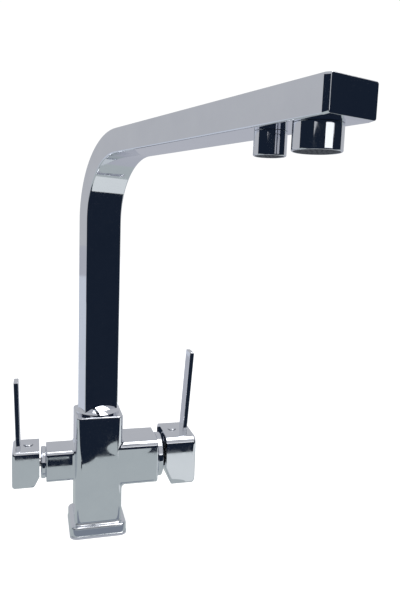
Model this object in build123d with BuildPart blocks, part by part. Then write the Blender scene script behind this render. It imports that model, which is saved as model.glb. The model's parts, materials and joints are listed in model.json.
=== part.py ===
"""Three-way kitchen mixer: a square column, a swivelling square spout and two side handles.

The right handle mixes hot and cold water, the left handle opens the filtered water.
Units are millimetres, +Z is up, -Y is the front and the origin is the centre of the
face that stands on the deck.  The spout is drawn in its resting position.
"""

from build123d import *
from math import cos, radians, sin, tan
import os

os.makedirs("parts", exist_ok=True)

# ---------------------------------------------------------------- driving dimensions
column_width = 46.0
column_top = 122.0
column_corner = 6.0
foot_width = 55.0
foot_corner = 7.0
foot_top = 12.0
plinth_height = 3.0

handle_axis_z = 71.5

mixer_tee_width = 45.6
mixer_tee_corner = 7.0
mixer_tee_end = 59.0
mixer_neck_radius = 22.25
mixer_neck_end = 65.0
mixer_block_width = 51.5
mixer_block_start = 67.0
mixer_block_end = 97.5
mixer_bevel_run = 6.5
mixer_bevel_rise = 17.0
mixer_lever_reach = 89.5
mixer_lever_top = 181.0
mixer_lever_lean = 3.5
mixer_cap_reach = 77.5
mixer_pivot_reach = 52.0

filter_tee_width = 32.0
filter_tee_corner = 5.0
filter_tee_end = 50.5
filter_neck_radius = 15.75
filter_neck_end = 55.5
filter_block_width = 37.5
filter_block_start = 57.0
filter_block_end = 82.5
filter_bevel_run = 5.5
filter_bevel_rise = 11.0
filter_lever_reach = 77.0
filter_lever_top = 156.0
filter_lever_lean = 1.5
filter_cap_reach = 67.5

lever_thickness = 4.5
lever_depth = 17.0
lever_seat = 8.0

spout_angle = 17.0
spout_width = 35.0
spout_thickness = 20.5
spout_wall = 1.8
spout_corner = 1.4
spout_top = 390.0
spout_reach = 317.0
spout_bend = 68.0
end_cap_thickness = 4.5
end_cap_taper = 0.5
end_cap_plug = 3.0

main_outlet_reach = 292.5
main_sleeve_radius = 14.0
main_sleeve_drop = 14.8
filter_outlet_reach = 252.5
filter_sleeve_radius = 10.0
filter_sleeve_drop = 14.4

collar_radius = 21.5
collar_rim = 1.8
collar_dome = 9.2
collar_seat = 2.6
collar_gap = 0.1
swivel_bore_radius = 15.0
swivel_bore_floor = 84.0
nipple_radius = 14.0
running_gap = 0.05
filter_tube_radius = 4.0
filter_tube_bore = 3.0
filter_seal_radius = 5.4
filter_seal_height = 2.5

# ---------------------------------------------------------------- working planes
swing = radians(spout_angle)
arm_direction = (sin(swing), -cos(swing), 0)
arm_side = (cos(swing), sin(swing), 0)
arm_plane = Plane(origin=(0, 0, 0), x_dir=arm_direction, z_dir=(0, 0, 1))
arm_profile_plane = Plane(origin=(0, 0, 0), x_dir=arm_direction, z_dir=(-arm_side[0], -arm_side[1], 0))

# Both handle planes look outward, so a distance along them is a reach from the column's axis.
mixer_plane = Plane(origin=(0, 0, handle_axis_z), x_dir=(0, 1, 0), z_dir=(1, 0, 0))
filter_plane = Plane(origin=(0, 0, handle_axis_z), x_dir=(0, -1, 0), z_dir=(-1, 0, 0))

arm_middle = spout_top - spout_thickness / 2
arm_underside = spout_top - spout_thickness
bend_start = arm_middle - spout_bend
tube_foot = column_top + collar_seat
tube_end = spout_reach - end_cap_thickness


def ring(plane, outer_radius, bore_radius):
    """Flat ring on a plane."""
    with BuildSketch(plane) as profile:
        Circle(outer_radius)
        Circle(bore_radius, mode=Mode.SUBTRACT)
    return profile.sketch


def disc(plane, radius):
    """Flat disc on a plane."""
    with BuildSketch(plane) as profile:
        Circle(radius)
    return profile.sketch


def rounded(plane, width, height, corner):
    """Rounded rectangle on a plane."""
    with BuildSketch(plane) as profile:
        RectangleRounded(width, height, corner)
    return profile.sketch


def save(builder, name):
    """Label a finished piece and write its STEP file."""
    builder.part.label = name
    export_step(builder.part, f"parts/{name}.step")


# ---------------------------------------------------------------- body
port_radius = 5.0
port_depth = 16.0
stud_radius = 4.0
inlet_passage = 3.0
hot_port = (11.0, -11.0)
cold_port = (11.0, 11.0)
filter_port = (-12.0, -8.0)
stud_hole = (-11.0, 11.0)

cartridge_bore = 18.5
cartridge_floor = 17.0
mixer_inlet_y = 8.0
mixer_inlet_z = -5.5
mixer_outlet_z = 8.5
mixer_outlet_radius = 4.0
mixed_riser_x = 10.0

filter_bore = 10.0
filter_floor = 24.0
filter_passage = 2.5
filter_inlet = (4.5, -5.0)
filter_outlet = (0.0, 6.0)

washer_recess_radius = 20.0
washer_recess_floor = column_top - 0.8

foot_blend = 2.2
mixer_tee_blend = 4.0
filter_tee_blend = 3.0
screw_z = 96.0
screw_radius = 2.5

ledge_band = (foot_top - 0.1, foot_top + 0.1)
beyond = 60.0

with BuildPart() as body_casting:
    # Foot and column.
    extrude(
        rounded(Plane.XY.offset(plinth_height), foot_width, foot_width, foot_corner),
        amount=foot_top - plinth_height,
    )
    extrude(
        rounded(Plane.XY.offset(plinth_height), column_width, column_width, column_corner),
        amount=column_top - plinth_height,
    )
    ledge = body_casting.faces().filter_by(Axis.Z).filter_by_position(Axis.Z, *ledge_band)[0]
    fillet(ledge.inner_wires()[0].edges(), radius=foot_blend)
    ledge = body_casting.faces().filter_by(Axis.Z).filter_by_position(Axis.Z, *ledge_band)[0]
    fillet(ledge.outer_wire().edges(), radius=foot_blend)
    # Side tees for the two valves, each blended into the column.
    extrude(rounded(mixer_plane, mixer_tee_width, mixer_tee_width, mixer_tee_corner), amount=mixer_tee_end)
    fillet(
        body_casting.edges().filter_by(
            lambda edge: column_width / 2 - column_corner < edge.center().X <= column_width / 2 + 0.01
            and abs(edge.center().Z - handle_axis_z) < mixer_tee_width / 2 + 0.1
        ),
        radius=mixer_tee_blend,
    )
    extrude(
        rounded(filter_plane, filter_tee_width, filter_tee_width, filter_tee_corner), amount=filter_tee_end
    )
    fillet(
        body_casting.edges().filter_by(
            lambda edge: abs(edge.center().X + column_width / 2) < 0.01
            and abs(edge.center().Y) <= filter_tee_width / 2 + 0.1
            and abs(edge.center().Z - handle_axis_z) < filter_tee_width / 2 + 0.1
        ),
        radius=filter_tee_blend,
    )
    fillet(body_casting.faces().sort_by(Axis.X)[-1].edges(), radius=1.2)
    fillet(body_casting.faces().sort_by(Axis.X)[0].edges(), radius=1.0)
    fillet(body_casting.faces().sort_by(Axis.Z)[-1].edges(), radius=1.2)
    # Swivel chamber, thrust washer recess and the filtered water bore on the spout's axis.
    extrude(
        disc(Plane.XY.offset(swivel_bore_floor), swivel_bore_radius), amount=beyond, mode=Mode.SUBTRACT
    )
    extrude(
        disc(Plane.XY.offset(washer_recess_floor), washer_recess_radius), amount=beyond, mode=Mode.SUBTRACT
    )
    extrude(
        disc(Plane.XY.offset(handle_axis_z + filter_passage), filter_tube_radius + running_gap),
        amount=swivel_bore_floor - handle_axis_z,
        mode=Mode.SUBTRACT,
    )
    extrude(
        disc(Plane.XY.offset(swivel_bore_floor - filter_seal_height), filter_seal_radius),
        amount=filter_seal_height,
        mode=Mode.SUBTRACT,
    )
    # Valve chambers.
    extrude(disc(mixer_plane.offset(cartridge_floor), cartridge_bore), amount=beyond, mode=Mode.SUBTRACT)
    extrude(disc(filter_plane.offset(filter_floor), filter_bore), amount=beyond, mode=Mode.SUBTRACT)
    # Hot and cold passages: two risers, each crossed by a drilling from the cartridge floor.
    with BuildSketch(Plane.XY.offset(plinth_height)):
        with Locations(hot_port, cold_port, filter_port):
            Circle(port_radius)
    extrude(amount=port_depth, mode=Mode.SUBTRACT)
    with BuildSketch(Plane.XY.offset(plinth_height)):
        with Locations(hot_port, cold_port, filter_port):
            Circle(inlet_passage)
    extrude(amount=handle_axis_z + mixer_inlet_z - plinth_height, mode=Mode.SUBTRACT)
    with BuildSketch(mixer_plane.offset(hot_port[0])):
        with Locations((mixer_inlet_y, mixer_inlet_z), (-mixer_inlet_y, mixer_inlet_z)):
            Circle(inlet_passage)
    extrude(amount=10, mode=Mode.SUBTRACT)
    # Mixed water: from the cartridge floor into the swivel chamber.
    with BuildSketch(mixer_plane.offset(mixed_riser_x)):
        with Locations((0, mixer_outlet_z)):
            Circle(mixer_outlet_radius)
    extrude(amount=10, mode=Mode.SUBTRACT)
    with BuildSketch(Plane.XY.offset(handle_axis_z + mixer_outlet_z)):
        with Locations((mixed_riser_x, 0)):
            Circle(mixer_outlet_radius)
    extrude(amount=6, mode=Mode.SUBTRACT)
    # Filtered water: in from its riser, out to the bore on the spout's axis.
    with BuildSketch(filter_plane.offset(-filter_port[0])):
        with Locations(filter_inlet):
            Circle(filter_passage)
    extrude(amount=20, mode=Mode.SUBTRACT)
    with BuildSketch(filter_plane):
        with Locations(filter_outlet):
            Circle(filter_passage)
    extrude(amount=30, mode=Mode.SUBTRACT)
    # Threaded hole for the fixing stud, and the hole of the spout's retaining screw.
    with BuildSketch(Plane.XY.offset(plinth_height)):
        with Locations(stud_hole):
            Circle(stud_radius)
    extrude(amount=port_depth, mode=Mode.SUBTRACT)
    with BuildSketch(Plane.XZ.offset(-column_width)):
        with Locations((0, screw_z)):
            Circle(screw_radius)
    extrude(amount=column_width, mode=Mode.SUBTRACT)
save(body_casting, "body_casting")

plinth_width = foot_width + 1.0
seal_height = 1.8
seal_width = 51.0
seal_band = 2.5
seal_corner = 5.5
port_clearance = 1.5
stud_clearance = 0.75
with BuildSketch() as seal_groove:
    RectangleRounded(seal_width, seal_width, seal_corner)
    RectangleRounded(
        seal_width - 2 * seal_band, seal_width - 2 * seal_band, seal_corner - seal_band, mode=Mode.SUBTRACT
    )

with BuildPart() as base_plinth:
    extrude(rounded(Plane.XY, plinth_width, plinth_width, foot_corner + 0.5), amount=plinth_height)
    fillet(base_plinth.faces().sort_by(Axis.Z)[-1].edges(), radius=1.0)
    # Clearance holes for the hose ends and the stud, and the groove of the deck seal.
    with BuildSketch():
        with Locations(hot_port, cold_port, filter_port):
            Circle(port_radius + port_clearance)
        with Locations(stud_hole):
            Circle(stud_radius + stud_clearance)
    extrude(amount=plinth_height, mode=Mode.SUBTRACT)
    extrude(seal_groove.sketch, amount=seal_height, mode=Mode.SUBTRACT)
save(base_plinth, "base_plinth")

with BuildPart() as base_seal:
    extrude(seal_groove.sketch, amount=seal_height)
save(base_seal, "base_seal")

# ---------------------------------------------------------------- mixer cartridge
housing_radius = 17.5
housing_shoulder = 46.0
housing_neck_radius = 15.0
housing_top = 58.0
housing_cavity_radius = 14.5
housing_floor = 18.5
housing_floor_top = 22.5
sleeve_start = 37.0
sleeve_radius = 12.0
disc_thickness = 4.0
disc_travel = 1.57
disc_radius = 11.5
cartridge_port_radius = 3.4
port_seal_radius = 5.2
port_seal_bore = 4.0
ball_radius = 3.0
tail_reach = 34.0

cartridge_ports = [
    (mixer_inlet_y, mixer_inlet_z),
    (-mixer_inlet_y, mixer_inlet_z),
    (0, mixer_outlet_z),
]

with BuildPart() as mixer_cartridge_seals:
    with BuildSketch(mixer_plane.offset(cartridge_floor)):
        with Locations(cartridge_ports):
            Circle(port_seal_radius)
        with Locations(cartridge_ports):
            Circle(port_seal_bore, mode=Mode.SUBTRACT)
    extrude(amount=housing_floor - cartridge_floor)
save(mixer_cartridge_seals, "mixer_cartridge_seals")

with BuildPart() as mixer_cartridge_housing:
    extrude(
        disc(mixer_plane.offset(housing_floor), housing_radius), amount=housing_shoulder - housing_floor
    )
    extrude(
        disc(mixer_plane.offset(housing_shoulder), housing_neck_radius),
        amount=housing_top - housing_shoulder,
    )
    extrude(
        disc(mixer_plane.offset(housing_floor_top), housing_cavity_radius),
        amount=sleeve_start - housing_floor_top,
        mode=Mode.SUBTRACT,
    )
    extrude(
        disc(mixer_plane.offset(sleeve_start - 1), sleeve_radius + running_gap),
        amount=beyond,
        mode=Mode.SUBTRACT,
    )
    with BuildSketch(mixer_plane.offset(housing_floor)):
        with Locations(cartridge_ports):
            Circle(cartridge_port_radius)
    extrude(amount=housing_floor_top - housing_floor, mode=Mode.SUBTRACT)
save(mixer_cartridge_housing, "mixer_cartridge_housing")

with BuildPart() as mixer_fixed_disc:
    extrude(disc(mixer_plane.offset(housing_floor_top), housing_cavity_radius), amount=disc_thickness)
    with BuildSketch(mixer_plane.offset(housing_floor_top)):
        with Locations(cartridge_ports):
            Circle(cartridge_port_radius)
    extrude(amount=disc_thickness, mode=Mode.SUBTRACT)
save(mixer_fixed_disc, "mixer_fixed_disc")

moving_disc_start = housing_floor_top + disc_thickness
carrier_start = moving_disc_start + disc_thickness
with BuildPart() as mixer_moving_disc:
    with BuildSketch(mixer_plane.offset(moving_disc_start)):
        with Locations((0, -disc_travel)):
            Circle(disc_radius)
    extrude(amount=disc_thickness)
    # Mixing chamber, open towards the fixed disc.
    with BuildSketch(mixer_plane.offset(moving_disc_start)):
        with Locations((0, 2.0 - disc_travel)):
            SlotOverall(16.0, 8.0, rotation=90)
    extrude(amount=2.2, mode=Mode.SUBTRACT)
save(mixer_moving_disc, "mixer_moving_disc")

with BuildPart() as mixer_disc_carrier:
    with BuildSketch(mixer_plane.offset(carrier_start)):
        with Locations((0, -disc_travel)):
            Circle(disc_radius)
        SlotOverall(10.0, 2 * (ball_radius + 0.15), mode=Mode.SUBTRACT)
    extrude(amount=5.0)
save(mixer_disc_carrier, "mixer_disc_carrier")

sleeve_end = 57.0
fork_slot = 8.4
pin_radius = 1.5
with BuildPart() as mixer_turning_sleeve:
    extrude(disc(mixer_plane.offset(sleeve_start), sleeve_radius), amount=sleeve_end - sleeve_start)
    # Slot in which the stem tilts, wider towards the open side.
    with BuildSketch(Plane.XZ.offset(-fork_slot / 2)):
        with BuildLine():
            Polyline(
                (sleeve_start - 1, handle_axis_z - 5.5),
                (sleeve_start - 1, handle_axis_z + 9.0),
                (mixer_pivot_reach, handle_axis_z + 5.5),
                (sleeve_end + 1, handle_axis_z + 5.5),
                (sleeve_end + 1, handle_axis_z - 8.5),
                (mixer_pivot_reach, handle_axis_z - 5.5),
                close=True,
            )
        make_face()
    extrude(amount=fork_slot, mode=Mode.SUBTRACT)
    with BuildSketch(Plane.XZ.offset(-sleeve_radius)):
        with Locations((mixer_pivot_reach, handle_axis_z)):
            Circle(pin_radius)
    extrude(amount=2 * sleeve_radius, mode=Mode.SUBTRACT)
save(mixer_turning_sleeve, "mixer_turning_sleeve")

with BuildPart() as mixer_pivot_pin:
    with BuildSketch(Plane.XZ.offset(-sleeve_radius + 0.5)):
        with Locations((mixer_pivot_reach, handle_axis_z)):
            Circle(pin_radius)
    extrude(amount=2 * sleeve_radius - 1.0)
save(mixer_pivot_pin, "mixer_pivot_pin")

stem_width = 8.0
stem_start = mixer_pivot_reach - 4.0
stem_end = 84.0
tail_radius = 2.2
with BuildPart() as mixer_stem:
    extrude(
        rounded(mixer_plane.offset(stem_start), stem_width, stem_width, 1.0), amount=stem_end - stem_start
    )
    # Tail with the ball that pushes the disc carrier.
    extrude(disc(mixer_plane.offset(tail_reach), tail_radius), amount=stem_start - tail_reach)
    with Locations((tail_reach, 0, handle_axis_z)):
        Sphere(ball_radius)
    with BuildSketch(Plane.XZ.offset(-stem_width)):
        with Locations((mixer_pivot_reach, handle_axis_z)):
            Circle(pin_radius + running_gap)
    extrude(amount=2 * stem_width, mode=Mode.SUBTRACT)
save(mixer_stem, "mixer_stem")

with BuildPart() as mixer_cartridge_nut:
    extrude(ring(mixer_plane.offset(housing_shoulder), cartridge_bore, housing_neck_radius), amount=12.0)
    # Spanner slots in the outer face.
    with BuildSketch(mixer_plane.offset(housing_top)):
        with PolarLocations(cartridge_bore, 6):
            Rectangle(4.0, 3.0)
    extrude(amount=-3.0, mode=Mode.SUBTRACT)
save(mixer_cartridge_nut, "mixer_cartridge_nut")

neck_bore = 16.0
neck_lip = 2.0
neck_lip_bore = 12.5
with BuildPart() as mixer_neck_ring:
    extrude(
        ring(mixer_plane.offset(mixer_tee_end), mixer_neck_radius, neck_bore),
        amount=mixer_neck_end - mixer_tee_end,
    )
    extrude(
        ring(mixer_plane.offset(housing_top), cartridge_bore, neck_bore), amount=mixer_tee_end - housing_top
    )
    extrude(
        ring(mixer_plane.offset(mixer_neck_end - neck_lip), neck_bore, neck_lip_bore), amount=neck_lip
    )
    fillet(mixer_neck_ring.edges().group_by(Axis.X)[-1].sort_by(SortBy.RADIUS)[-1], radius=1.5)
    # Groove that parts the ring from the tee.
    extrude(
        ring(mixer_plane.offset(mixer_tee_end), mixer_neck_radius + 1, mixer_neck_radius - 0.7),
        amount=0.8,
        mode=Mode.SUBTRACT,
    )
save(mixer_neck_ring, "mixer_neck_ring")


# ---------------------------------------------------------------- handles
def side_block(plane, width, start, end, bevel_run, bevel_rise, top_blend):
    """Handle block: a rounded square bar, bevelled low on its inner face."""
    half = width / 2
    with BuildPart() as block:
        extrude(rounded(plane.offset(start), width, width, top_blend), amount=end - start)
        with BuildSketch(Plane(origin=plane.origin, x_dir=plane.z_dir, z_dir=-plane.x_dir)):
            with BuildLine():
                Polyline(
                    (start - 1, bevel_rise - half),
                    (start, bevel_rise - half),
                    (start + bevel_run, -half),
                    (start + bevel_run, -half - 1),
                    (start - 1, -half - 1),
                    close=True,
                )
            make_face()
        extrude(amount=half + 1, both=True, mode=Mode.SUBTRACT)
        fillet(block.faces().sort_by(Axis(plane.origin, plane.z_dir))[-1].edges(), radius=3.0)
        bevel_face = block.faces().filter_by(GeomType.PLANE).sort_by(Axis.Z)[0:3]
        fillet(bevel_face.edges().filter_by(Axis.Y).group_by(Axis.Z)[0], radius=1.5)
    return block.part


def lever_blade(plane, reach, seat_z, top_z, lean):
    """Flat lever that leans outward as it rises."""
    outward = plane.z_dir
    length = (top_z - seat_z) / cos(radians(lean))
    rise = Vector(0, 0, cos(radians(lean))) + outward * sin(radians(lean))
    foot = Vector(0, 0, seat_z) + outward * reach
    with BuildPart() as blade:
        with BuildSketch(Plane(origin=foot, x_dir=(0, 1, 0), z_dir=rise)):
            RectangleRounded(lever_depth, lever_thickness, 0.8)
        extrude(amount=length)
        fillet(blade.faces().sort_by(Axis(foot, rise))[-1].edges(), radius=0.8)
    return blade.part


mixer_block_top = handle_axis_z + mixer_block_width / 2
filter_block_top = handle_axis_z + filter_block_width / 2
mixer_blade_foot = mixer_lever_reach - lever_seat * tan(radians(mixer_lever_lean))
filter_blade_foot = filter_lever_reach - lever_seat * tan(radians(filter_lever_lean))
mixer_blade = lever_blade(
    mixer_plane, mixer_blade_foot, mixer_block_top - lever_seat, mixer_lever_top, mixer_lever_lean
)
filter_blade = lever_blade(
    filter_plane, filter_blade_foot, filter_block_top - lever_seat, filter_lever_top, filter_lever_lean
)

with BuildPart() as mixer_lever:
    add(mixer_blade)
save(mixer_lever, "mixer_lever")

with BuildPart() as filter_lever:
    add(filter_blade)
save(filter_lever, "filter_lever")

grub_radius = 2.5
grub_length = 9.0
mixer_cap_radius = 4.2
filter_cap_radius = 4.6
cap_depth = 3.0
cap_dome = 1.6
mixer_grub_seat = handle_axis_z + stem_width / 2

with BuildPart() as mixer_handle_block:
    add(
        side_block(
            mixer_plane,
            mixer_block_width,
            mixer_block_start,
            mixer_block_end,
            mixer_bevel_run,
            mixer_bevel_rise,
            top_blend=8.0,
        )
    )
    # Socket of the stem, screw hole with its cap seat, and the slot of the lever.
    extrude(
        rounded(mixer_plane.offset(mixer_block_start), stem_width, stem_width, 1.0),
        amount=stem_end - mixer_block_start,
        mode=Mode.SUBTRACT,
    )
    with BuildSketch(Plane.XY.offset(handle_axis_z)):
        with Locations((mixer_cap_reach, 0)):
            Circle(grub_radius)
    extrude(amount=mixer_block_width, mode=Mode.SUBTRACT)
    with BuildSketch(Plane.XY.offset(mixer_block_top - cap_depth)):
        with Locations((mixer_cap_reach, 0)):
            Circle(mixer_cap_radius)
    extrude(amount=cap_depth, mode=Mode.SUBTRACT)
    add(mixer_blade, mode=Mode.SUBTRACT)
save(mixer_handle_block, "mixer_handle_block")

spindle_radius = 4.0
spindle_end = 72.0
filter_grub_seat = handle_axis_z + spindle_radius - 0.6

with BuildPart() as filter_handle_block:
    add(
        side_block(
            filter_plane,
            filter_block_width,
            filter_block_start,
            filter_block_end,
            filter_bevel_run,
            filter_bevel_rise,
            top_blend=4.0,
        )
    )
    extrude(
        disc(filter_plane.offset(filter_block_start), spindle_radius),
        amount=spindle_end - filter_block_start,
        mode=Mode.SUBTRACT,
    )
    with BuildSketch(Plane.XY.offset(handle_axis_z)):
        with Locations((-filter_cap_reach, 0)):
            Circle(grub_radius)
    extrude(amount=filter_block_width, mode=Mode.SUBTRACT)
    with BuildSketch(Plane.XY.offset(filter_block_top - cap_depth)):
        with Locations((-filter_cap_reach, 0)):
            Circle(filter_cap_radius)
    extrude(amount=cap_depth, mode=Mode.SUBTRACT)
    add(filter_blade, mode=Mode.SUBTRACT)
save(filter_handle_block, "filter_handle_block")


def grub_screw(x, seat_z):
    """Socket-headed grub screw, standing on its seat."""
    with BuildPart() as screw:
        with BuildSketch(Plane.XY.offset(seat_z)):
            with Locations((x, 0)):
                Circle(grub_radius)
        extrude(amount=grub_length)
        chamfer(screw.faces().sort_by(Axis.Z)[0].edges(), length=0.6)
        with BuildSketch(Plane.XY.offset(seat_z + grub_length)):
            with Locations((x, 0)):
                RegularPolygon(1.25, 6, major_radius=False)
        extrude(amount=-3.0, mode=Mode.SUBTRACT)
    return screw.part


def screw_cap(x, top_z, radius):
    """Domed plug that hides a grub screw."""
    with BuildPart() as cap:
        with BuildSketch(Plane.XY.offset(top_z - cap_depth)):
            with Locations((x, 0)):
                Circle(radius)
        extrude(amount=cap_depth + cap_dome)
        fillet(cap.edges().group_by(Axis.Z)[-1], radius=cap_dome - 0.2)
    return cap.part


with BuildPart() as mixer_grub_screw:
    add(grub_screw(mixer_cap_reach, mixer_grub_seat))
save(mixer_grub_screw, "mixer_grub_screw")

with BuildPart() as filter_grub_screw:
    add(grub_screw(-filter_cap_reach, filter_grub_seat))
save(filter_grub_screw, "filter_grub_screw")

with BuildPart() as mixer_screw_cap:
    add(screw_cap(mixer_cap_reach, mixer_block_top, mixer_cap_radius))
save(mixer_screw_cap, "mixer_screw_cap")

with BuildPart() as filter_screw_cap:
    add(screw_cap(-filter_cap_reach, filter_block_top, filter_cap_radius))
save(filter_screw_cap, "filter_screw_cap")

# ---------------------------------------------------------------- filtered water valve
seal_end = 25.5
fixed_end = 28.5
moving_end = 31.5
valve_disc_radius = 8.5
moving_disc_radius = valve_disc_radius - 0.3
spindle_shoulder = 5.0
gland_start = 40.0
grub_flat_start = 61.0
valve_holes = [filter_inlet, filter_outlet]

with BuildPart() as filter_valve_seals:
    with BuildSketch(filter_plane.offset(filter_floor)):
        with Locations(valve_holes):
            Circle(3.1)
        with Locations(valve_holes):
            Circle(2.5, mode=Mode.SUBTRACT)
    extrude(amount=seal_end - filter_floor)
save(filter_valve_seals, "filter_valve_seals")

with BuildPart() as filter_fixed_disc:
    extrude(disc(filter_plane.offset(seal_end), valve_disc_radius), amount=fixed_end - seal_end)
    with BuildSketch(filter_plane.offset(seal_end)):
        with Locations(valve_holes):
            Circle(2.0)
    extrude(amount=fixed_end - seal_end, mode=Mode.SUBTRACT)
save(filter_fixed_disc, "filter_fixed_disc")

with BuildPart() as filter_moving_disc:
    extrude(disc(filter_plane.offset(fixed_end), moving_disc_radius), amount=moving_end - fixed_end)
    # Crescent that joins the two holes when the valve is open.
    with BuildSketch(filter_plane.offset(fixed_end)):
        with Locations((-4.5, -2.0)):
            SlotOverall(10.0, 4.0, rotation=70)
    extrude(amount=1.6, mode=Mode.SUBTRACT)
save(filter_moving_disc, "filter_moving_disc")

with BuildPart() as filter_valve_body:
    extrude(
        ring(filter_plane.offset(seal_end), filter_bore, valve_disc_radius),
        amount=filter_tee_end - seal_end,
    )
    extrude(
        ring(filter_plane.offset(gland_start), valve_disc_radius, spindle_shoulder + running_gap),
        amount=filter_tee_end - gland_start,
    )
    with BuildSketch(filter_plane.offset(filter_tee_end)):
        RegularPolygon(11.0, 6, major_radius=False)
        Circle(spindle_shoulder + running_gap, mode=Mode.SUBTRACT)
    extrude(amount=3.0)
save(filter_valve_body, "filter_valve_body")

with BuildPart() as filter_spindle:
    extrude(disc(filter_plane.offset(moving_end), moving_disc_radius), amount=3.0)
    extrude(disc(filter_plane.offset(moving_end), spindle_shoulder), amount=54.5 - moving_end)
    extrude(disc(filter_plane.offset(moving_end), spindle_radius), amount=spindle_end - moving_end)
    # Flat on which the grub screw bears.
    with BuildSketch(filter_plane.offset(grub_flat_start)):
        with Locations((0, spindle_radius)):
            Rectangle(2 * spindle_radius, 1.2)
    extrude(amount=spindle_end - grub_flat_start, mode=Mode.SUBTRACT)
save(filter_spindle, "filter_spindle")

with BuildPart() as filter_neck_ring:
    extrude(ring(filter_plane.offset(filter_tee_end), filter_neck_radius, 13.0), amount=5.0)
    extrude(ring(filter_plane.offset(filter_neck_end - 1.5), 13.0, 6.5), amount=1.5)
    fillet(filter_neck_ring.edges().group_by(Axis.X)[0].sort_by(SortBy.RADIUS)[-1], radius=1.8)
    fillet(filter_neck_ring.edges().group_by(Axis.X)[-1].sort_by(SortBy.RADIUS)[-1], radius=1.2)
save(filter_neck_ring, "filter_neck_ring")

# ---------------------------------------------------------------- spout swivel
nipple_foot = swivel_bore_floor + 1.0
nipple_bore = 7.0
o_ring_heights = (89.0, 104.0)
o_ring_height = 2.2
o_ring_bore = 12.4
bush_heights = (85.5, 110.0)
bush_height = 3.0
screw_head = column_width / 2 - 0.4
spigot_top = tube_foot + 16.0
spigot_thickness = spout_thickness - 2 * spout_wall
spigot_width = spout_width - 2 * spout_wall
spigot_corner = 1.0

with BuildPart() as swivel_thrust_washer:
    extrude(
        ring(Plane.XY.offset(washer_recess_floor), washer_recess_radius, swivel_bore_radius),
        amount=column_top - washer_recess_floor,
    )
save(swivel_thrust_washer, "swivel_thrust_washer")

collar_rise = collar_dome - collar_rim
collar_sphere = (collar_radius**2 + collar_rise**2) / (2 * collar_rise)

with BuildPart() as swivel_collar:
    with BuildSketch(Plane.XZ):
        with BuildLine():
            Polyline(
                (0, column_top + collar_dome),
                (0, column_top),
                (collar_radius, column_top),
                (collar_radius, column_top + collar_rim),
            )
            RadiusArc(
                (collar_radius, column_top + collar_rim),
                (0, column_top + collar_dome),
                -collar_sphere,
            )
        make_face()
    revolve(axis=Axis.Z)
    # Opening for the spigot, and above it the seat in which the foot of the tube stands.
    extrude(
        rounded(arm_plane.offset(column_top), spigot_thickness, spigot_width, spigot_corner),
        amount=collar_dome,
        mode=Mode.SUBTRACT,
    )
    extrude(
        rounded(
            arm_plane.offset(tube_foot),
            spout_thickness + 2 * collar_gap,
            spout_width + 2 * collar_gap,
            spout_corner,
        ),
        amount=collar_dome,
        mode=Mode.SUBTRACT,
    )
save(swivel_collar, "swivel_collar")

with BuildPart() as spout_swivel_nipple:
    extrude(disc(Plane.XY.offset(nipple_foot), nipple_radius), amount=column_top - nipple_foot)
    # Spigot that passes the collar and fills the foot of the spout tube.
    extrude(
        rounded(arm_plane.offset(column_top), spigot_thickness, spigot_width, spigot_corner),
        amount=spigot_top - column_top,
    )
    extrude(disc(Plane.XY.offset(swivel_bore_floor), nipple_bore), amount=beyond, mode=Mode.SUBTRACT)
    # Grooves of the two O-rings and of the retaining screw.
    for height in o_ring_heights:
        o_ring_groove = ring(Plane.XY.offset(height), nipple_radius + 1, o_ring_bore)
        extrude(o_ring_groove, amount=o_ring_height, mode=Mode.SUBTRACT)
    extrude(ring(Plane.XY.offset(screw_z - 1.8), nipple_radius + 1, 12.0), amount=3.6, mode=Mode.SUBTRACT)
save(spout_swivel_nipple, "spout_swivel_nipple")

with BuildPart() as swivel_o_rings:
    for height in o_ring_heights:
        o_ring = ring(Plane.XY.offset(height), swivel_bore_radius - running_gap, o_ring_bore)
        extrude(o_ring, amount=o_ring_height)
save(swivel_o_rings, "swivel_o_rings")

with BuildPart() as swivel_bushes:
    for height in bush_heights:
        bush = ring(Plane.XY.offset(height), swivel_bore_radius, nipple_radius + running_gap)
        extrude(bush, amount=bush_height)
save(swivel_bushes, "swivel_bushes")

with BuildPart() as spout_retaining_screw:
    with BuildSketch(Plane.XZ.offset(-screw_head)):
        with Locations((0, screw_z)):
            Circle(screw_radius)
    extrude(amount=screw_head - swivel_bore_radius)
    with BuildSketch(Plane.XZ.offset(-swivel_bore_radius)):
        with Locations((0, screw_z)):
            Circle(1.4)
    extrude(amount=swivel_bore_radius - 12.6)
    with BuildSketch(Plane.XZ.offset(-screw_head)):
        with Locations((0, screw_z)):
            RegularPolygon(1.25, 6, major_radius=False)
    extrude(amount=2.5, mode=Mode.SUBTRACT)
save(spout_retaining_screw, "spout_retaining_screw")

with BuildPart() as filter_tube_seal:
    extrude(
        ring(
            Plane.XY.offset(swivel_bore_floor - filter_seal_height),
            filter_seal_radius,
            filter_tube_radius + running_gap,
        ),
        amount=filter_seal_height,
    )
save(filter_tube_seal, "filter_tube_seal")

# ---------------------------------------------------------------- spout
main_hole_radius = 12.0
filter_hole_radius = 8.0

with BuildPart() as spout_tube:
    with BuildLine(arm_profile_plane) as spout_path:
        Line((0, tube_foot), (0, bend_start))
        RadiusArc((0, bend_start), (spout_bend, arm_middle), spout_bend)
        Line((spout_bend, arm_middle), (tube_end, arm_middle))
    with BuildSketch(arm_plane.offset(tube_foot)):
        RectangleRounded(spout_thickness, spout_width, spout_corner)
        RectangleRounded(spigot_thickness, spigot_width, spigot_corner, mode=Mode.SUBTRACT)
    sweep(path=spout_path.line)
    # Holes of the two outlets in the underside.
    with BuildSketch(arm_plane.offset(arm_underside - 1)):
        with Locations((main_outlet_reach, 0)):
            Circle(main_hole_radius)
        with Locations((filter_outlet_reach, 0)):
            Circle(filter_hole_radius)
    extrude(amount=spout_wall + 2, mode=Mode.SUBTRACT)
save(spout_tube, "spout_tube")

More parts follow.
